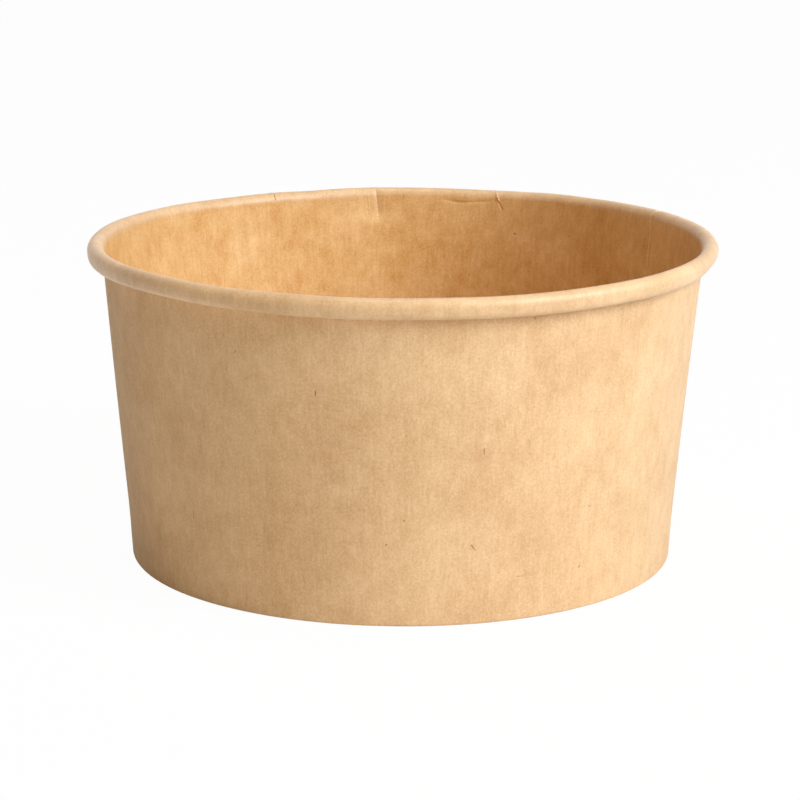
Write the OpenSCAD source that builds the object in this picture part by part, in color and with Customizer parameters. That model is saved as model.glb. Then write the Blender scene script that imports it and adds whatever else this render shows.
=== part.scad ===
// Round paper food bowl: one wrapped side wall with a rolled rim, and a pressed base disc.
// The wall is a single sheet of board. Its two ends lap at a seam, its top edge is rolled
// outward into a hollow rim, and its bottom edge is folded inward round the skirt of the base.
// The origin is the middle of the ring that the bowl stands on. The seam lies at the back right.

/* [Bowl] */
// Diameter over the rolled rim
rim_d = 150; // [140:1:190]
// Diameter of the wall where it meets the table
foot_d = 130; // [90:1:138]
// Height from the table to the top of the rim
bowl_h = 76.5; // [45:0.5:110]

/* [Board] */
// Thickness of the board of the side wall
wall_t = 0.45; // [0.35:0.05:0.55]
// Thickness of the board of the base
base_t = 0.4; // [0.3:0.05:0.6]
// Gap left between two boards that are sealed together
seal_gap = 0.05; // [0.03:0.01:0.1]

/* [Rolled rim] */
// Width of the roll from the inside of the wall to its outermost edge
roll_w = 3.9; // [3.6:0.1:6]
// Height of the straight flank outside the roll, between its upper and its lower arc
roll_flank = 0.95; // [0.2:0.05:3]
// How far the end of the roll turns back up inside it, in degrees
tuck_angle = 110; // [40:5:130]

/* [Lap seam] */
// Where the cut edge of the inner lap lies, in degrees from the right hand side
seam_angle = 28.5; // [0:0.5:359.5]
// Width of the lap, measured at the rim
lap_w = 8; // [5:0.5:14]
// Width of the stretch over which the outer lap steps down beside the inner one
step_w = 2.5; // [2:0.5:8]

/* [Foot] */
// Height of the hem that is folded up inside the foot
hem_h = 8.5; // [5:0.5:12]
// Clear height from the top of the hem to the bend of the base
hem_room = 0.8; // [0.2:0.1:4]
// Inside radius of the bend between the base and its skirt
bend_r = 0.8; // [0.4:0.1:2]
// Depth by which the fold under the foot is pressed flat
press_d = 0.06; // [0.03:0.01:0.1]

/* [Hidden] */

kraft_outside = "#cda276";
kraft_inside = "#d3a065";

// Facets round the bowl, round one small arc, and along the bend of the base
round_facets = 72;
arc_facets = 16;
bend_facets = 6;
// Number of small steps that bring the outer lap in beside the edge of the inner one
step_count = 3;
// The plain run of the sheet is turned in two stretches, the first of this angle
first_run = 180;
// Angle by which a stretch runs on into the next one, so that solid board joins them
run_on = 0.1;
// Room between the skirt of the base and the double fold under it
fold_room = 0.15;
// Share of the lower arc of the roll that its tucked end takes
tuck_share = 0.8;
// Smallest inside radius that the board takes
least_r = 0.05;
// Longer than any section, for the wedges and cuts
far = 400;

// The skirt of the base lies in the middle of the folded foot
slot_w = base_t + 2 * seal_gap;
slot_r = foot_d / 2 - wall_t - slot_w / 2;

// The wall leans so that its inner face runs into the roll without a kink
roll_r = roll_w / 2;
roll_u = roll_r + slot_w / 2;
run_x = rim_d / 2 - roll_r - slot_r;
run_z = bowl_h - roll_r + press_d;
run_length = norm([run_x, run_z]);
lean = atan2(run_x, run_z) - asin(roll_u / run_length);
roll_v = micron(sqrt(run_length * run_length - roll_u * roll_u));

// Angles that the lap and its step take up round the bowl
lap_angle = tenth(lap_w / (rim_d / 2) * 180 / PI);
step_angle = tenth(step_w / (rim_d / 2) * 180 / PI / step_count);

// The top of the base, and the lowest point of its skirt, clear of the double fold at the seam
base_rise = hem_h + hem_room + bend_r + base_t;
skirt_low = 2 * wall_t + fold_room;

function micron(x) = round(x * 1000) / 1000;
function tenth(x) = round(x * 10) / 10;

// A point of the plane that leans with the wall. u runs out through the board and v runs up
// along it, from the middle of the fold's slot at the level of the table.
function wall_point(u, v) = [
    slot_r + u * cos(lean) + v * sin(lean),
    -press_d - u * sin(lean) + v * cos(lean),
];

function arc_points(centre, r, from, to, steps) = [
    for (i = [0:steps]) let(a = from + (to - from) * i / steps) centre + r * [cos(a), sin(a)],
];

// A wedge of the plane between two angles, at most 240 degrees apart
module wedge(from, to) {
    polygon(concat([[0, 0]], arc_points([0, 0], far, from, to, 4)));
}

// An arc of board of the given thickness, whose outer radius is r
module board_arc(r, thick, from, to) {
    intersection() {
        difference() {
            circle(r = r, $fn = arc_facets);
            circle(r = r - thick, $fn = arc_facets);
        }
        wedge(from, to);
    }
}

// Section of the sheet. lift is how far it lies outside the run of the wall,
// and thick is one board, or two where the ends of the sheet lap.
module sheet_section(lift, thick) {
    inside_u = slot_w / 2 + lift;
    fold_r = inside_u + thick;
    fold_v = micron(fold_r / cos(lean));
    top_r = roll_r - lift;
    flank_u = roll_u + top_r;
    low_r = (flank_u - inside_u - thick - seal_gap) / 2;
    low_v = roll_v - roll_flank;
    tuck_r = micron(max(low_r * tuck_share, thick + least_r));
    difference() {
        translate([slot_r, -press_d]) rotate(-lean) {
            // Hem, fold and wall
            translate([-fold_r, fold_v]) square([thick, hem_h - fold_v]);
            translate([0, fold_v]) board_arc(fold_r, thick, 180, 360);
            translate([inside_u, fold_v]) square([thick, roll_v - fold_v]);
            // Roll, from the top of the wall over and down, and back up inside
            translate([roll_u, roll_v]) board_arc(top_r, thick, 0, 180);
            translate([flank_u - thick, low_v]) square([thick, roll_flank]);
            translate([flank_u - low_r, low_v]) board_arc(low_r, thick, 180, 360);
            translate([flank_u - 2 * low_r + tuck_r, low_v])
                board_arc(tuck_r, thick, 180 - tuck_angle, 180);
        }
        // What lies under the table is pressed flat
        translate([0, -far]) square([far, far]);
    }
}

// A stretch of the sheet round the bowl
module sheet_run(from, angle, lift, thick) {
    rotate_extrude(start = from, angle = angle, $fn = round_facets) sheet_section(lift, thick);
}

module side_wall() {
    lap_end = seam_angle + lap_angle;
    step_start = seam_angle - step_count * step_angle;
    color(kraft_outside) {
        // Plain run of the sheet, from the outer cut edge round to the first step
        sheet_run(lap_end, first_run, 0, wall_t);
        sheet_run(lap_end + first_run, 360 - first_run + step_start - lap_end + run_on, 0, wall_t);
        // Both ends of the sheet, sealed on each other
        sheet_run(seam_angle, lap_angle + run_on, 0, 2 * wall_t);
        // Steps out from the plain run to the outer lap
        for (i = [1:step_count]) {
            lift = i * wall_t / (step_count + 1);
            sheet_run(step_start + (i - 1) * step_angle, step_angle + run_on, lift, wall_t);
        }
    }
}

// Section of the base: a flat disc, a bend, and a skirt that leans with the wall
module base_section() {
    skirt_u = base_t / 2;
    bend_u = skirt_u - bend_r - base_t;
    bend_v = (base_rise - bend_r - base_t + press_d + bend_u * sin(lean)) / cos(lean);
    skirt_v = (skirt_low + press_d + skirt_u * sin(lean)) / cos(lean);
    centre = wall_point(bend_u, bend_v);
    polygon(concat(
        [[0, base_rise - base_t], [0, base_rise]],
        arc_points(centre, bend_r + base_t, 90, -lean, bend_facets),
        [wall_point(skirt_u, skirt_v), wall_point(-skirt_u, skirt_v)],
        arc_points(centre, bend_r, -lean, 90, bend_facets)
    ));
}

module base_disc() {
    color(kraft_inside) rotate_extrude($fn = round_facets) base_section();
}

side_wall();
base_disc();
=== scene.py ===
import math

import bpy
import numpy as np
from mathutils import Matrix, Vector


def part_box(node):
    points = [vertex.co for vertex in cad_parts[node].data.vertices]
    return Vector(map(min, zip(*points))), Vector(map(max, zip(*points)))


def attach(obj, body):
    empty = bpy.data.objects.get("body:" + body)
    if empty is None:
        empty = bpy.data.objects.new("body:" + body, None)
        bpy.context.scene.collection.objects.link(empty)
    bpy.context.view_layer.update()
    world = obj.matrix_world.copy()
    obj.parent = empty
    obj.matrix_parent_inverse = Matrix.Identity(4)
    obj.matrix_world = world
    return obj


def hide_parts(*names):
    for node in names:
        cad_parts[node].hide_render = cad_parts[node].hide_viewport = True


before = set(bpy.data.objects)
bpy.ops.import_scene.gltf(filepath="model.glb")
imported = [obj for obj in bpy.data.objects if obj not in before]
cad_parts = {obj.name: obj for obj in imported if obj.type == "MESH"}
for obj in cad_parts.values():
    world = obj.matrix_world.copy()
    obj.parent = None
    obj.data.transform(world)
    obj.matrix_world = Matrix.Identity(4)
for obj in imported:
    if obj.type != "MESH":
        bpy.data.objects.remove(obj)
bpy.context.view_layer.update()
mm = 0.001

# The sheet of the side wall. Lengths are in metres and angles in degrees from +X.
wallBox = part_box("side_wall")
sheet = {
    "rimRadius": (wallBox[1][1] - wallBox[0][1]) / 2,
    "rimHeight": wallBox[1][2],
    "footRadius": 65 * mm,
    "board": 0.45 * mm,
    "slot": 0.5 * mm,  # room for the skirt of the base inside the folded foot
    "sealGap": 0.05 * mm,
    "press": 0.06 * mm,  # how far the fold is pressed flat under the foot
    "rollWidth": 3.9 * mm,
    "rollFlank": 0.95 * mm,
    "tuckAngle": 110,
    "tuckShare": 0.8,
    "leastRadius": 0.05 * mm,
    "hemHeight": 8.5 * mm,
    "flare": 0.3 * mm,  # how far the pressed foot stands out, and the height up to which it does
    "flareTop": 12 * mm,
    "seamAngle": 28.9,  # cut edge of the inner lap
    "lapAngle": 6.1,
    "stepAngle": 1.8,  # the outer lap comes in over this angle beside the inner cut edge
    "settleAngle": 2.5,  # past the outer cut edge the roll takes this much to settle
    "layerGap": 0.012 * mm,
    "edgePress": 0.38 * mm,  # the inner cut edge is pressed thinner by this much
    "edgePressAngle": 0.9,
    # The pale strip beside the inner cut edge is partly the board's raw fibres and partly painted highlight
    # of the bright line that the lit edge shows.
    "paleEdgeAndHighlight": 0.4,  # width in degrees of the pale fibres along the inner cut edge
    "seamFill": 0.34 * mm,  # how far the roll is filled out where the cut edge sinks into it
}

# How finely the sheet is drawn: steps along its section, and degrees between its columns
sheetMesh = {
    "columnAngle": 1.0,
    "fineAngle": 0.13,
    "finePlaces": [(93.6, 98.4), (67.0, 71.4), (117.0, 118.4), (386.6, 389.4), (394.4, 395.0)],
    "hem": 5,
    "fold": 8,
    "wall": 16,
    "middle": 6,
    "upper": 12,
    "top": 14,
    "flank": 2,
    "low": 10,
    "tuck": 6,
    "middleFrom": 66 * mm,  # the wall has finer rows above this height, and the finest above the next
    "upperFrom": 71.8 * mm,
}


# The lean of the wall and the place of the roll follow from the sizes of the sheet.
def wallLayout():
    slotR = sheet["footRadius"] - sheet["board"] - sheet["slot"] / 2
    rollR = sheet["rollWidth"] / 2
    rollU = rollR + sheet["slot"] / 2
    runX = sheet["rimRadius"] - rollR - slotR
    runZ = sheet["rimHeight"] - rollR + sheet["press"]
    run = math.hypot(runX, runZ)
    lean = math.atan2(runX, runZ) - math.asin(rollU / run)
    rollV = math.sqrt(run * run - rollU * rollU)
    return {"slotR": slotR, "rollR": rollR, "rollU": rollU, "rollV": rollV, "lean": lean}


layout = wallLayout()


def smoothStep(x):
    x = np.clip(x, 0, 1)
    return x * x * (3 - 2 * x)


def bump(x, half):
    return np.exp(-((x / half) ** 2))


# u runs out through the board and v up along it, from the fold at the level of the table.
def toWorld(u, v):
    c, s = math.cos(layout["lean"]), math.sin(layout["lean"])
    return layout["slotR"] + u * c + v * s, -sheet["press"] - u * s + v * c


def arc(u, v, r, start, end, steps):
    a = np.radians(np.linspace(start, end, steps + 1))
    return np.stack([u + r * np.cos(a), v + r * np.sin(a)], axis=1)


def line(u0, v0, u1, v1, steps):
    k = np.linspace(0, 1, steps + 1)[:, None]
    return np.array([[u0, v0]]) * (1 - k) + np.array([[u1, v1]]) * k


# Section of one face of the sheet, from the hem up to the tucked end of the roll. depth is how far
# it lies outside the bowl's inner face, and stack the thickness of all boards there.
def sheetFace(depth, stack):
    half = sheet["slot"] / 2
    foldV = (half + stack) / math.cos(layout["lean"])
    rollR, rollU, rollV = layout["rollR"], layout["rollU"], layout["rollV"]
    flankU = rollU + rollR
    lowV = rollV - sheet["rollFlank"]
    lowR = (flankU - half - stack - sheet["sealGap"]) / 2
    tuckR = max(sheet["tuckShare"] * lowR, stack + sheet["leastRadius"])
    tuckEnd = 180 - sheet["tuckAngle"]
    middleV, upperV = sheetMesh["middleFrom"], sheetMesh["upperFrom"]
    parts = [
        line(-half - depth, sheet["hemHeight"], -half - depth, foldV, sheetMesh["hem"]),
        arc(0, foldV, half + depth, 180, 360, sheetMesh["fold"])[1:],
        line(half + depth, foldV, half + depth, middleV, sheetMesh["wall"])[1:],
        line(half + depth, middleV, half + depth, upperV, sheetMesh["middle"])[1:],
        line(half + depth, upperV, half + depth, rollV, sheetMesh["upper"])[1:],
        arc(rollU, rollV, rollR - depth, 180, 0, sheetMesh["top"])[1:],
        line(flankU - depth, rollV, flankU - depth, lowV, sheetMesh["flank"])[1:],
        arc(flankU - lowR, lowV, lowR - depth, 0, -180, sheetMesh["low"])[1:],
        arc(flankU - 2 * lowR + tuckR, lowV, tuckR - depth, 180, tuckEnd, sheetMesh["tuck"])[1:],
    ]
    return np.concatenate(parts)


# Slow waves of the rim, as (angle, change of height, change of radius), read as closed curves,
# and those of the underside of the roll alone, as (angle, change of height)
rimWaves = {
    "points": [
        (0, 0.42, 0.35),
        (9, 0.72, 0.28),
        (24, 0.70, 0.12),
        (40, 0.58, 0.04),
        (50, 0.38, 0.0),
        (58, 0.28, 0.0),
        (65, 0.02, 0.0),
        (74, -0.10, 0.0),
        (92, -0.06, 0.0),
        (101, -0.16, 0.0),
        (110, -0.50, 0.0),
        (118, -0.34, 0.0),
        (129, -0.38, 0.0),
        (141, -0.22, 0.0),
        (165, -0.12, 0.0),
        (190, -0.10, -0.04),
        (222, 0.03, 0.0),
        (246, 0.06, 0.0),
        (262, -0.09, 0.0),
        (283, -0.06, 0.0),
        (296, 0.03, 0.0),
        (315, 0.08, 0.05),
        (336, 0.22, 0.12),
    ],
    "underside": [
        (0, 0.95),
        (22, 0.45),
        (40, 0.0),
        (200, 0.0),
        (222, 0.12),
        (238, 0.0),
        (250, -0.2),
        (266, -0.12),
        (283, -0.14),
        (296, -0.2),
        (318, -0.14),
        (334, 0.05),
        (346, 0.85),
    ],
    "start": 0.5,  # share of the height above which the wall follows the rim
    "ripple": 0.05,  # in mm, of the small waves of the rim
    "belly": 0.10,  # in mm, of the bulges of the wall
    "underTop": 75.2,  # in mm, the height at which the underside's own waves end
    "underLow": 68,
    "fillLow": 72,  # in mm, the height from which the roll is filled out at the seam
    "fillRise": 3,
}


def waveAt(angle, points, column=1):
    points = sorted(points)
    a = np.array([p[0] for p in points], float)
    h = np.array([p[column] for p in points], float)
    a = np.concatenate([a[-3:] - 360, a, a[:3] + 360])
    h = np.concatenate([h[-3:], h, h[:3]])
    x = np.asarray(angle) % 360
    i = np.clip(np.searchsorted(a, x, side="right") - 1, 0, len(a) - 2)
    return h[i] + (h[i + 1] - h[i]) * smoothStep((x - a[i]) / (a[i + 1] - a[i]))


# Creases of the rim at the back, as heights towards the axis in mm at (angle, z). Left of the
# middle a long crease, with a ledge down to the board on its right and fine wrinkles on its left
rimTop = 76.5  # in mm, the height from which both slants are counted
leftCrease = {
    "angle": 95.75,
    "slant": 0.085,  # degrees for each mm below the rim
    "valley": 0.9,
    "leftFade": 5.4,
    "rightFade": 2.2,
    "step": 0.22,  # the board right of the crease lies deeper by this much, over the next angles
    "stepWidth": 0.16,
    "stepFade": 1.2,
    "low": 67.6,
    "rise": 3.0,
    "wrinkles": [(0.55, 0.06), (1.0, 0.03), (1.65, 0.055), (2.3, 0.03)],
    "wrinkleWidth": 0.13,
    "wrinkleLow": 68.6,  # they come in over the next rise above this, and end over the fade below
    "wrinkleRise": 2.5,
    "wrinkleHigh": 74.6,
    "wrinkleFade": 1.2,
}
# Right of the middle a short one, that is a ridge on the rim and a groove below it
rightCrease = {
    "angle": 70.1,
    "slant": 0.39,
    "ridge": 0.24,
    "ridgeWidth": 0.15,
    "ridgeLow": 73.2,
    "ridgeRise": 1.2,
    "crest": 75.4,  # above this the ridge falls off to less
    "crestLoss": 0.6,
    "groove": 0.2,
    "grooveWidth": 0.17,
    "grooveOffset": 0.1,
    "low": 71.4,
    "grooveRise": 0.8,
    "grooveFade": 1.4,
}
# The dent runs along the rim as a line of (angle, z), each with its depth
dent = {
    "line": [
        (70.2, 74.1, 0.0),
        (72.0, 73.8, 0.14),
        (75.0, 73.5, 0.18),
        (77.8, 73.15, 0.3),
        (79.5, 73.5, 0.38),
        (81.3, 74.6, 0.0),
    ],
    "halfHeight": 0.21,
}
# Left of the long crease the roll stands in a little, and the rim has one small nick
shoulder = {
    "from": 96.0,
    "fromFade": 3,
    "to": 158.0,
    "toFade": 24,
    "height": 74.25,
    "drop": 0.9,
    "rise": 1.9,
    "depth": 0.05,
}
nick = {"angle": 117.7, "width": 0.13, "height": 75.8, "halfHeight": 0.9, "depth": 0.6}


# How far the creases push the board towards the axis, in mm, at an angle and a height in mm.
def creaseDepth(angle, z):
    c = leftCrease
    rise = smoothStep((z - c["low"]) / c["rise"])
    off = angle - (c["angle"] - c["slant"] * (rimTop - z))
    fade = np.where(off > 0, c["leftFade"], c["rightFade"])
    total = -c["valley"] * rise * np.exp(-np.abs(off) / fade)
    ledge = smoothStep(-off / c["stepWidth"]) * np.exp(np.minimum(off, 0) / c["stepFade"])
    total = total - c["step"] * rise * ledge
    band = smoothStep((z - c["wrinkleLow"]) / c["wrinkleRise"])
    band = band * (1 - smoothStep((z - c["wrinkleHigh"]) / c["wrinkleFade"]))
    for shift, height in c["wrinkles"]:
        total = total + height * band * bump(off - shift, c["wrinkleWidth"])
    c = rightCrease
    off = angle - (c["angle"] - c["slant"] * (rimTop - z))
    above = smoothStep((z - c["ridgeLow"]) / c["ridgeRise"])
    above = above * (1 - c["crestLoss"] * smoothStep(z - c["crest"]))
    below = smoothStep((z - c["low"]) / c["grooveRise"])
    below = below * (1 - smoothStep((z - c["ridgeLow"]) / c["grooveFade"]))
    total = total + c["ridge"] * above * bump(off, c["ridgeWidth"])
    total = total - c["groove"] * below * bump(off - c["grooveOffset"], c["grooveWidth"])
    c = dent
    angles, middles, depths = zip(*c["line"])
    near = bump(z - np.interp(angle, angles, middles), c["halfHeight"])
    total = total - np.interp(angle, angles, depths) * near
    c = shoulder
    along = smoothStep((angle - c["from"]) / c["fromFade"]) * smoothStep((c["to"] - angle) / c["toFade"])
    above = smoothStep((c["height"] + c["rise"] - z) / c["rise"])
    total = total + c["depth"] * along * above * smoothStep((z - c["height"] + c["drop"]) / c["drop"])
    c = nick
    near = bump(angle - c["angle"], c["width"]) * bump(z - c["height"], c["halfHeight"])
    return total - c["depth"] * near


def flareAt(z):
    return sheet["flare"] * smoothStep((sheet["flareTop"] - z) / sheet["flareTop"])


# How far the roll is lifted at the seam, so that its outline runs on over the sunk cut edge.
def seamFill(angle):
    off = (angle - sheet["seamAngle"] + 180) % 360 - 180
    before = smoothStep(1 + off / sheet["stepAngle"])
    return sheet["seamFill"] * before * smoothStep(1 - off / sheet["edgePressAngle"])


def sheetColumns():
    start = sheet["seamAngle"]
    end = 360 + start + sheet["lapAngle"]
    marks = np.linspace(start, end, int(round((end - start) / sheetMesh["columnAngle"])) + 1)
    for a, b in sheetMesh["finePlaces"] + [(start, start + 1.6)]:
        b = min(b, end)
        marks = marks[(marks <= a) | (marks >= b)]
        marks = np.concatenate([marks, np.linspace(a, b, int(round((b - a) / sheetMesh["fineAngle"])) + 1)])
    return np.unique(np.round(marks, 4))


# How deep the inner face of this layer lies, and how thick the boards are in all.
def layersAt(angle):
    t, gap = sheet["board"], sheet["layerGap"]
    edge = 360 + sheet["seamAngle"]
    nest = (t + gap) * float(smoothStep((angle - (edge - sheet["stepAngle"])) / sheet["stepAngle"]))
    lapEnd = sheet["seamAngle"] + sheet["lapAngle"]
    under = (t + gap) * float(1 - smoothStep((angle - lapEnd) / sheet["settleAngle"]))
    return nest, t + max(nest, under)


# Points round the section of the sheet at one angle: up its inner face and back down its outer one.
def sheetColumn(angle):
    nest, stack = layersAt(angle)
    past = (angle - sheet["seamAngle"]) / sheet["edgePressAngle"]
    pressed = sheet["edgePress"] * float(1 - smoothStep(past))
    outer = sheetFace(nest + sheet["board"], stack)[::-1]
    loop = np.concatenate([sheetFace(nest + pressed, stack), outer])
    r, z = toWorld(loop[:, 0], loop[:, 1])
    a = angle % 360
    share = smoothStep((z / sheet["rimHeight"] - rimWaves["start"]) / (1 - rimWaves["start"]))
    lift = waveAt(a, rimWaves["points"]) + rimWaves["ripple"] * (
        math.sin(math.radians(7 * a + 20)) + 0.6 * math.sin(math.radians(13 * a + 75))
    )
    out = waveAt(a, rimWaves["points"], 2)
    away = loop[:, 0] - sheet["slot"] / 2
    under = smoothStep(away / mm / 1.4 - 0.9)  # only the roll's outer part
    under = under * smoothStep((rimWaves["underTop"] - z / mm) / 2.0)
    under = under * smoothStep((z / mm - rimWaves["underLow"]) / 2.0)
    lift = lift + waveAt(a, rimWaves["underside"]) * under
    fill = seamFill(a) * smoothStep((z / mm - rimWaves["fillLow"]) / rimWaves["fillRise"])
    belly = np.sin(math.pi * np.clip(z / sheet["rimHeight"], 0, 1))
    belly = belly * (math.sin(math.radians(3 * a + 200)) + 0.5 * math.sin(math.radians(8 * a + 10)))
    r = r + mm * (out * share + rimWaves["belly"] * belly - creaseDepth(a, z / mm)) + flareAt(z)
    z = np.maximum(z + mm * lift * share + fill, 0)
    c, s = math.cos(math.radians(angle)), math.sin(math.radians(angle))
    return np.stack([r * c, r * s, z], axis=1)


def meshObject(name, points, faces, slots, materials, sharp=38):
    mesh = bpy.data.meshes.new(name)
    mesh.from_pydata([tuple(map(float, p)) for p in points], [], faces)
    for m in materials:
        mesh.materials.append(m)
    mesh.polygons.foreach_set("material_index", slots)
    mesh.polygons.foreach_set("use_smooth", [True] * len(faces))
    mesh.set_sharp_from_angle(angle=math.radians(sharp))
    mesh.update()
    o = bpy.data.objects.new(name, mesh)
    bpy.context.scene.collection.objects.link(o)
    return o


def buildSheet(materials):
    angles = sheetColumns()
    columns = [sheetColumn(a) for a in angles]
    n = len(columns[0])
    half = n // 2
    points = np.concatenate(columns)
    faces, slots = [], []
    for k in range(len(columns) - 1):
        a, b = k * n, (k + 1) * n
        for i in range(n):
            j = (i + 1) % n
            faces.append((a + i, b + i, b + j, a + j))
            # Faces just past the inner cut edge take the pale edge colour: raw fibres, widened into a
            # painted highlight along the seam.
            pale = angles[k + 1] <= sheet["seamAngle"] + sheet["paleEdgeAndHighlight"]
            if i == half - 1 or i == n - 1 or pale:
                slots.append(2)
            else:
                slots.append(0 if i < half - 1 else 1)
    last = (len(columns) - 1) * n
    for i in range(half - 1):
        faces.append((i, i + 1, n - 2 - i, n - 1 - i))
        faces.append((last + n - 1 - i, last + n - 2 - i, last + i + 1, last + i))
        slots += [2, 2]
    print("side wall", len(angles), "columns,", 2 * len(faces), "triangles")
    return meshObject("sideWallSheet", points, faces, slots, materials)


# The base disc
base = {
    "board": 0.4 * mm,
    "rise": 10.5 * mm,
    "bendRadius": 0.8 * mm,
    "skirtLow": 1.05 * mm,
    "bendSteps": 8,
    "columns": 300,
    "rings": [0.0, 0.1, 0.22, 0.36, 0.5, 0.63, 0.75, 0.85, 0.93, 0.97],
    "sag": 0.22 * mm,
    "wave": 0.05 * mm,
}


# The disc is turned from a section that runs over its top, down the skirt and back under it.
def buildBase(materials):
    t, rise, bend = base["board"], base["rise"], base["bendRadius"]
    lean = layout["lean"]
    skirtU = t / 2
    bendU = skirtU - bend - t
    bendV = (rise - bend - t + sheet["press"] + bendU * math.sin(lean)) / math.cos(lean)
    skirtV = (base["skirtLow"] + sheet["press"] + skirtU * math.sin(lean)) / math.cos(lean)
    cr, cz = toWorld(bendU, bendV)
    outer = arc(cr, cz, bend + t, 90, -math.degrees(lean), base["bendSteps"])
    inner = arc(cr, cz, bend, -math.degrees(lean), 90, base["bendSteps"])
    foot = np.array([toWorld(skirtU, skirtV), toWorld(-skirtU, skirtV)])
    flat = np.array([[cr * k, rise] for k in base["rings"][1:]])
    under = np.array([[cr * k, rise - t] for k in base["rings"][:0:-1]])
    section = np.concatenate([flat, outer, foot, inner, under])
    n, m = len(section), base["columns"]
    points, faces, slots = [(0, 0, rise - base["sag"])], [], []
    sag = base["sag"] * (1 - smoothStep(section[:, 0] / cr))
    radius = section[:, 0] + np.where(section[:, 0] > 0.97 * cr, flareAt(section[:, 1]), 0)
    for k in range(m):
        a = 2 * math.pi * k / m
        wave = base["wave"] * np.sin(math.pi * np.clip(section[:, 0] / cr, 0, 1)) * math.sin(2 * a + 0.6)
        z = section[:, 1] - sag + np.where(section[:, 1] > rise - 1.2 * t, wave, 0)
        for r, h in zip(radius, z):
            points.append((r * math.cos(a), r * math.sin(a), h))
    points.append((0, 0, rise - t - base["sag"]))
    footRow = len(flat) + len(outer)
    for k in range(m):
        a, b = 1 + k * n, 1 + (k + 1) % m * n
        faces.append((0, a, b))
        slots.append(0)
        for i in range(n - 1):
            faces.append((a + i, a + i + 1, b + i + 1, b + i))
            slots.append(0 if i < footRow else (2 if i == footRow else 1))
        faces.append((a + n - 1, len(points) - 1, b + n - 1))
        slots.append(1)
    print("base disc", 2 * len(faces), "triangles")
    return meshObject("baseDisc", points, faces, slots, materials)


# Shader groups: they give masks and values only, and the shading itself stays in the materials
def newGroup(name, inputs, outputs):
    g = bpy.data.node_groups.new(name, "ShaderNodeTree")
    for label, kind, value in inputs:
        socket = g.interface.new_socket(label, in_out="INPUT", socket_type=kind)
        if value is not None:
            socket.default_value = value
    for label, kind in outputs:
        g.interface.new_socket(label, in_out="OUTPUT", socket_type=kind)
    return g, g.nodes.new("NodeGroupInput"), g.nodes.new("NodeGroupOutput")


def mathNode(tree, operation, *values, clamp=False):
    n = tree.nodes.new("ShaderNodeMath")
    n.operation = operation
    n.use_clamp = clamp
    for i, value in enumerate(values):
        if isinstance(value, (int, float)):
            n.inputs[i].default_value = value
        else:
            tree.links.new(value, n.inputs[i])
    return n.outputs[0]


def noiseNode(tree, vector, scale, detail=2.0, rough=0.5, distortion=0.0):
    n = tree.nodes.new("ShaderNodeTexNoise")
    n.inputs["Scale"].default_value = scale
    n.inputs["Detail"].default_value = detail
    n.inputs["Roughness"].default_value = rough
    n.inputs["Distortion"].default_value = distortion
    tree.links.new(vector, n.inputs["Vector"])
    return n.outputs["Fac"]


def stretched(tree, vector, scale, shift=(0, 0, 0)):
    n = tree.nodes.new("ShaderNodeMapping")
    n.inputs["Scale"].default_value = scale
    n.inputs["Location"].default_value = shift
    tree.links.new(vector, n.inputs["Vector"])
    return n.outputs["Vector"]


# Clouds, grain, streaks and fibres of the board, each about 0 to 1 and 0.5 in the mean.
pulpMarks = ("Clouds", "Grain", "Streaks", "DarkFibres", "PaleFibres", "Specks")


def pulpGroup():
    g, source, result = newGroup(
        "kraftPulp",
        [("Place", "NodeSocketVector", None)],
        [(name, "NodeSocketFloat") for name in pulpMarks],
    )
    place = stretched(g, source.outputs["Place"], (1000, 1000, 1000))
    broad = noiseNode(g, place, 0.055, 2, 0.55)
    patch = noiseNode(g, stretched(g, place, (1, 1, 0.8), (31, 7, 3)), 0.30, 3, 0.62)
    clouds = mathNode(g, "ADD", mathNode(g, "MULTIPLY", broad, 0.52), mathNode(g, "MULTIPLY", patch, 0.48))
    g.links.new(clouds, result.inputs["Clouds"])
    g.links.new(noiseNode(g, place, 2.0, 3, 0.72), result.inputs["Grain"])
    tall = stretched(g, place, (1, 1, 0.05), (5, 50, 9))
    g.links.new(noiseNode(g, tall, 1.5, 2, 0.6), result.inputs["Streaks"])
    for label, scale, turn in (("DarkFibres", (1, 1, 0.28), 0), ("PaleFibres", (1, 1, 0.4), 17)):
        winding = noiseNode(g, stretched(g, place, scale, (turn, 3, turn)), 1.1, 1, 0.5)
        near = mathNode(g, "ABSOLUTE", mathNode(g, "SUBTRACT", winding, 0.5))
        thin = mathNode(g, "SUBTRACT", 1.0, mathNode(g, "MULTIPLY", near, 42.0), clamp=True)
        broken = noiseNode(g, stretched(g, place, (1, 1, 1), (turn + 40, 8, 2)), 0.55, 0, 0.5)
        gate = mathNode(g, "MULTIPLY", mathNode(g, "SUBTRACT", broken, 0.5), 7.0, clamp=True)
        g.links.new(mathNode(g, "MULTIPLY", thin, gate), result.inputs[label])
    cells = g.nodes.new("ShaderNodeTexVoronoi")
    cells.inputs["Scale"].default_value = 0.16
    g.links.new(place, cells.inputs["Vector"])
    size = mathNode(g, "MULTIPLY", cells.outputs["Color"], 0.05)
    spot = mathNode(g, "LESS_THAN", cells.outputs["Distance"], size)
    g.links.new(spot, result.inputs["Specks"])
    return g


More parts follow.
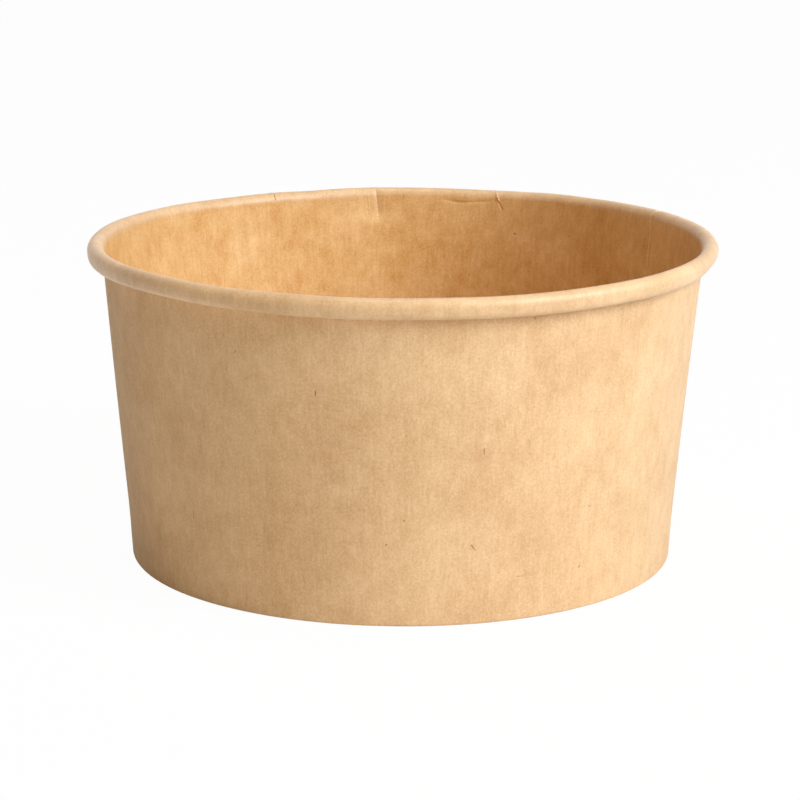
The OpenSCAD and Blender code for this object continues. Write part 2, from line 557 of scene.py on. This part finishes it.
# A single fleck of bark: an ellipsoid in the board, soft at its edge.
def fleckGroup():
    g, source, result = newGroup(
        "kraftFleck",
        [
            ("Place", "NodeSocketVector", None),
            ("Centre", "NodeSocketVector", None),
            ("Turn", "NodeSocketVector", None),
            ("Size", "NodeSocketVector", None),
            ("Rough", "NodeSocketFloat", 0.5),
            ("Strength", "NodeSocketFloat", 1.0),
        ],
        [("Mask", "NodeSocketFloat")],
    )
    # Vector Rotate brings the fleck upright, and then its sizes divide the distance
    turn = g.nodes.new("ShaderNodeVectorRotate")
    turn.rotation_type = "EULER_XYZ"
    turn.invert = True
    g.links.new(source.outputs["Place"], turn.inputs["Vector"])
    g.links.new(source.outputs["Centre"], turn.inputs["Center"])
    g.links.new(source.outputs["Turn"], turn.inputs["Rotation"])
    away = g.nodes.new("ShaderNodeVectorMath")
    away.operation = "SUBTRACT"
    g.links.new(turn.outputs["Vector"], away.inputs[0])
    g.links.new(source.outputs["Centre"], away.inputs[1])
    scaled = g.nodes.new("ShaderNodeVectorMath")
    scaled.operation = "DIVIDE"
    g.links.new(away.outputs["Vector"], scaled.inputs[0])
    g.links.new(source.outputs["Size"], scaled.inputs[1])
    length = g.nodes.new("ShaderNodeVectorMath")
    length.operation = "LENGTH"
    g.links.new(scaled.outputs["Vector"], length.inputs[0])
    rough = mathNode(g, "MULTIPLY", source.outputs["Rough"], 0.5)
    ragged = mathNode(g, "ADD", length.outputs["Value"], rough)
    mask = mathNode(g, "MULTIPLY", mathNode(g, "SUBTRACT", 1.45, ragged), 2.2, clamp=True)
    g.links.new(mathNode(g, "MULTIPLY", mask, source.outputs["Strength"]), result.inputs["Mask"])
    return g


pulp = pulpGroup()
fleck = fleckGroup()


# The largest of all flecks' masks. depth is how far the face lies outside the bowl's inner face.
def fleckMasks(tree, place, rough, flecks, depth):
    total = None
    for angle, height, halfWidth, halfLength, lean, strength in flecks:
        v = (height * mm + sheet["press"]) / math.cos(layout["lean"])
        r, z = toWorld(sheet["slot"] / 2 + depth, v)
        a = math.radians(angle)
        n = tree.nodes.new("ShaderNodeGroup")
        n.node_tree = fleck
        tree.links.new(place, n.inputs["Place"])
        tree.links.new(rough, n.inputs["Rough"])
        n.inputs["Centre"].default_value = (r * math.cos(a), r * math.sin(a), z)
        n.inputs["Turn"].default_value = (0.0, math.radians(lean), a + math.pi / 2)
        n.inputs["Size"].default_value = (halfWidth * mm, 1.5 * mm, halfLength * mm)
        n.inputs["Strength"].default_value = strength
        total = n.outputs["Mask"] if total is None else mathNode(tree, "MAXIMUM", total, n.outputs["Mask"])
    return total


def mixColour(tree, factor, a, b):
    n = tree.nodes.new("ShaderNodeMix")
    n.data_type = "RGBA"
    for value, socket in ((factor, n.inputs[0]), (a, n.inputs[6]), (b, n.inputs[7])):
        if isinstance(value, (int, float, tuple)):
            socket.default_value = value
        else:
            tree.links.new(value, socket)
    return n.outputs[2]


# How far a point lies out from the bowl's inner face, in mm.
def outFromWall(tree, place):
    parts = tree.nodes.new("ShaderNodeSeparateXYZ")
    tree.links.new(place, parts.inputs[0])
    squares = [mathNode(tree, "POWER", parts.outputs[i], 2.0) for i in (0, 1)]
    radius = mathNode(tree, "SQRT", mathNode(tree, "ADD", *squares))
    low, _ = toWorld(sheet["slot"] / 2, 0)
    wallR = mathNode(tree, "MULTIPLY_ADD", parts.outputs[2], math.tan(layout["lean"]), float(low))
    return mathNode(tree, "MULTIPLY", mathNode(tree, "SUBTRACT", radius, wallR), 1000.0)


# Linear colours of the board: its outside, its inside under the film, the rim and a cut edge. The rim's
# paler, greyer tone follows the pulp like the rest, and its paleness is partly painted highlight for the
# light that the roll's crest and the band along the back rim catch.
kraft = {
    "outside": {"pale": (0.80, 0.545, 0.312, 1), "deep": (0.595, 0.35, 0.167, 1)},
    "inside": {"pale": (0.85, 0.567, 0.275, 1), "deep": (0.62, 0.318, 0.094, 1)},
    "rim": {"pale": (0.80, 0.535, 0.30, 1), "deep": (0.585, 0.345, 0.158, 1)},
    # The cut edge's colour is the board's pale core, made paler still as painted highlight of the lit seam
    # line.
    "edge": {"pale": (0.93, 0.72, 0.48, 1), "deep": (0.80, 0.56, 0.33, 1)},
    "rimFilm": 1.0,  # the film shines more where it is stretched over the roll
    "fleck": (0.20, 0.105, 0.05, 1),
    # How much each mark of the pulp changes the tone between deep and pale
    "outsideTone": {"Clouds": 1.9, "Grain": 1.8, "Streaks": 0.6},
    "insideTone": {"Clouds": 2.4, "Grain": 1.35, "Streaks": 0.6},
    "bumpDepth": 0.055 * mm,
    "rimFrom": 0.5,  # in mm out from the inner face, where the rim's colour starts
    "rimFull": 1.4,
    # The pale band reaches lower left of the crease than right of it: painted highlight where the board
    # left of the crease leans towards the light.
    "rimLow": (74.4, 73.75),  # in mm up, where it starts right and left of the crease at the back
    "rimFade": (1.0, 0.7),  # the height that it takes to come in fully, right and left
    "rimLowFrom": -6.3,  # where the one gives way to the other, in mm along x
    "rimLowTo": -7.0,
}


# 0 on the wall and 1 on the roll, by the distance out from the wall or by the height. It lays the rim's
# paler tone, which is partly painted highlight, and the film's extra shine.
def rimShare(tree, place):
    away = outFromWall(tree, place)
    parts = tree.nodes.new("ShaderNodeSeparateXYZ")
    tree.links.new(place, parts.inputs[0])
    out = mathNode(tree, "SUBTRACT", away, kraft["rimFrom"])
    out = mathNode(tree, "DIVIDE", out, kraft["rimFull"] - kraft["rimFrom"], clamp=True)
    x = mathNode(tree, "MULTIPLY", parts.outputs[0], 1000.0)
    left = mathNode(tree, "SUBTRACT", x, kraft["rimLowFrom"])
    left = mathNode(tree, "DIVIDE", left, kraft["rimLowTo"] - kraft["rimLowFrom"], clamp=True)
    low, fade = [
        mathNode(tree, "MULTIPLY_ADD", left, leftValue - rightValue, rightValue)
        for rightValue, leftValue in (kraft["rimLow"], kraft["rimFade"])
    ]
    up = mathNode(tree, "SUBTRACT", mathNode(tree, "MULTIPLY", parts.outputs[2], 1000.0), low)
    return mathNode(tree, "MAXIMUM", out, mathNode(tree, "DIVIDE", up, fade, clamp=True))


def kraftMaterial(name, palette, tones, flecks=(), depth=0.0, rough=0.72, sheen=0.15, film=0.0, rim=None):
    m = bpy.data.materials.new(name)
    m.use_nodes = True
    tree = m.node_tree
    shader = tree.nodes["Principled BSDF"]
    place = tree.nodes.new("ShaderNodeTexCoord").outputs["Object"]
    marks = tree.nodes.new("ShaderNodeGroup")
    marks.node_tree = pulp
    tree.links.new(place, marks.inputs["Place"])
    out = marks.outputs
    tone = 0.5
    for label, amount in tones.items():
        off = mathNode(tree, "SUBTRACT", out[label], 0.5)
        tone = mathNode(tree, "ADD", tone, mathNode(tree, "MULTIPLY", off, amount))
    tone = mathNode(tree, "ADD", tone, 0.0, clamp=True)
    colour = mixColour(tree, tone, palette["deep"], palette["pale"])
    # On the roll and the band below it the colour turns to the rim's paler tone, partly painted highlight.
    if rim:
        onRimAndHighlight = rimShare(tree, place)
        colour = mixColour(tree, onRimAndHighlight, colour, mixColour(tree, tone, rim["deep"], rim["pale"]))
    colour = mixColour(tree, mathNode(tree, "MULTIPLY", out["DarkFibres"], 0.3), colour, palette["deep"])
    colour = mixColour(tree, mathNode(tree, "MULTIPLY", out["PaleFibres"], 0.3), colour, palette["pale"])
    specks = mathNode(tree, "MULTIPLY", out["Specks"], 0.3)
    if flecks:
        specks = mathNode(tree, "MAXIMUM", specks, fleckMasks(tree, place, out["Grain"], flecks, depth))
    colour = mixColour(tree, specks, colour, kraft["fleck"])
    tree.links.new(colour, shader.inputs["Base Color"])
    shader.inputs["Roughness"].default_value = rough
    shader.inputs["Specular IOR Level"].default_value = 0.3
    shader.inputs["Sheen Weight"].default_value = sheen
    shader.inputs["Sheen Roughness"].default_value = 0.5
    if rim:
        shine = mathNode(tree, "MULTIPLY_ADD", onRimAndHighlight, kraft["rimFilm"] - film, film)
        tree.links.new(shine, shader.inputs["Coat Weight"])
    else:
        shader.inputs["Coat Weight"].default_value = film
    shader.inputs["Coat Roughness"].default_value = 0.46
    relief = tree.nodes.new("ShaderNodeBump")
    relief.inputs["Distance"].default_value = kraft["bumpDepth"]
    relief.inputs["Strength"].default_value = 0.8
    tree.links.new(out["Grain"], relief.inputs["Height"])
    tree.links.new(relief.outputs["Normal"], shader.inputs["Normal"])
    return m


# Flecks in the pulp: angle, height, half width and half length in mm, lean in degrees, strength
outsideFlecks = [
    (-105.7, 54.1, 0.14, 0.75, 3, 0.8),
    (-121.4, 61.8, 0.13, 0.6, 35, 0.6),
    (-134.9, 20.7, 0.12, 1.0, 0, 0.5),
    (-117.2, 21.0, 0.12, 0.8, 0, 0.35),
    (-152.0, 1.9, 0.16, 0.6, 0, 0.6),
    (-92.8, 19.5, 0.2, 0.28, 20, 0.6),
    (-74.6, 40.9, 0.14, 0.75, -4, 0.8),
    (-76.1, 18.5, 0.15, 0.95, -38, 0.7),
    (-50.8, 24.6, 0.2, 0.22, 0, 0.6),
    (-52.2, 10.4, 0.25, 0.28, 0, 0.65),
    (-66.1, 10.5, 0.14, 0.9, 90, 0.4),
    (-66.0, 70.6, 0.2, 0.3, 0, 0.6),
    (-89.4, 25.2, 0.22, 0.25, 0, 0.65),
]
insideFlecks = [
    (65.3, 65.9, 0.3, 0.26, 0, 0.8),
    (75.2, 54.3, 0.13, 0.5, 10, 0.5),
]

outsideMaterial = kraftMaterial(
    "kraftOutside", kraft["outside"], kraft["outsideTone"], outsideFlecks, sheet["board"]
)
insideMaterial = kraftMaterial(
    "kraftInside",
    kraft["inside"],
    kraft["insideTone"],
    insideFlecks,
    rough=0.6,
    sheen=0.05,
    film=0.18,
    rim=kraft["rim"],
)
edgeMaterial = kraftMaterial("kraftEdge", kraft["edge"], kraft["outsideTone"])
print("materials made")

wall = buildSheet([insideMaterial, outsideMaterial, edgeMaterial])
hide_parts("side_wall")
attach(wall, "root")

disc = buildBase([insideMaterial, outsideMaterial, edgeMaterial])
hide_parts("base_disc")
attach(disc, "root")
print("pieces made")


# The lamps stand round the bowl at these places in metres, with their powers in watts
studio = {
    "key": {"place": (1.11, -0.615, 0.743), "size": 0.9, "power": 20.8, "colour": (0.87, 0.945, 1.0)},
    "high": {"place": (0.693, -0.624, 1.151), "size": 0.9, "power": 6.0, "colour": (1.0, 0.95, 0.85)},
    "fill": {"place": (-0.5, -1.15, 0.25), "size": 1.0, "power": 4.1, "colour": (1.0, 0.85, 0.6)},
    "top": {"place": (0.0, 0.1, 1.5), "size": 0.6, "power": 6.0, "colour": (1.0, 0.92, 0.8)},
    "ambient": 0.02,
    "floorAlbedo": 0.86,
    "floorGlow": 0.97,  # share of plain white in what the camera sees of the floor
    "floorSize": 3.0,
}


def areaLamp(name, lamp):
    data = bpy.data.lights.new(name, "AREA")
    data.shape = "DISK"
    data.size = lamp["size"]
    data.energy = lamp["power"]
    data.color = lamp["colour"]
    o = bpy.data.objects.new(name, data)
    o.location = lamp["place"]
    o.rotation_euler = (Vector((0, 0, 0.04)) - o.location).to_track_quat("-Z", "Y").to_euler()
    bpy.context.scene.collection.objects.link(o)


for lampName in ("key", "high", "fill", "top"):
    areaLamp(lampName, studio[lampName])


# 1 where the camera sees the surface, also in a reflection or through glass.
def seenDirectly(tree):
    path = tree.nodes.new("ShaderNodeLightPath")
    seen = mathNode(tree, "MAXIMUM", path.outputs["Is Camera Ray"], path.outputs["Is Glossy Ray"])
    return mathNode(tree, "MAXIMUM", seen, path.outputs["Is Transmission Ray"])


def buildWorld():
    world = bpy.data.worlds.new("studio")
    bpy.context.scene.world = world
    world.use_nodes = True
    tree = world.node_tree
    backdrop = tree.nodes["Background"]
    backdrop.inputs["Color"].default_value = (1, 1, 1, 1)
    strength = mathNode(tree, "MULTIPLY", seenDirectly(tree), 1 - studio["ambient"])
    tree.links.new(mathNode(tree, "ADD", strength, studio["ambient"]), backdrop.inputs["Strength"])


def buildFloor():
    half = studio["floorSize"] / 2
    m = bpy.data.materials.new("floorPaper")
    m.use_nodes = True
    tree = m.node_tree
    shader = tree.nodes["Principled BSDF"]
    albedo = studio["floorAlbedo"]
    shader.inputs["Base Color"].default_value = (albedo, albedo, albedo, 1)
    shader.inputs["Roughness"].default_value = 0.9
    white = tree.nodes.new("ShaderNodeEmission")
    both = tree.nodes.new("ShaderNodeMixShader")
    tree.links.new(mathNode(tree, "MULTIPLY", seenDirectly(tree), studio["floorGlow"]), both.inputs[0])
    tree.links.new(shader.outputs[0], both.inputs[1])
    tree.links.new(white.outputs[0], both.inputs[2])
    tree.links.new(both.outputs[0], tree.nodes["Material Output"].inputs["Surface"])
    corners = [(-half, -half, 0), (half, -half, 0), (half, half, 0), (-half, half, 0)]
    o = meshObject("floor", corners, [(0, 1, 2, 3)], [0], [m])


buildWorld()
buildFloor()


view = {
    "focal": 2914.9,  # in pixels of a picture 800 pixels wide
    "picture": 800,
    "sensor": 36.0,
    "pitch": 0.2364,
    "distance": 0.7062,
    "aim": (-0.34 * mm, 0.0, 36.43 * mm),
    "roll": 0.0047,
}


def buildCamera():
    data = bpy.data.cameras.new("camera")
    data.sensor_width = view["sensor"]
    data.lens = view["focal"] / view["picture"] * view["sensor"]
    o = bpy.data.objects.new("camera", data)
    e, roll = view["pitch"], view["roll"]
    away = Vector((0, -math.cos(e), math.sin(e)))
    right, up = Vector((1, 0, 0)), Vector((0, math.sin(e), math.cos(e)))
    side = right * math.cos(roll) + up * math.sin(roll)
    top = up * math.cos(roll) - right * math.sin(roll)
    rows = [(side[i], top[i], away[i], view["aim"][i] + away[i] * view["distance"]) for i in range(3)]
    o.matrix_world = Matrix(rows + [(0, 0, 0, 1)])
    bpy.context.scene.collection.objects.link(o)
    bpy.context.scene.camera = o


buildCamera()
bpy.context.scene.view_settings.view_transform = "Standard"
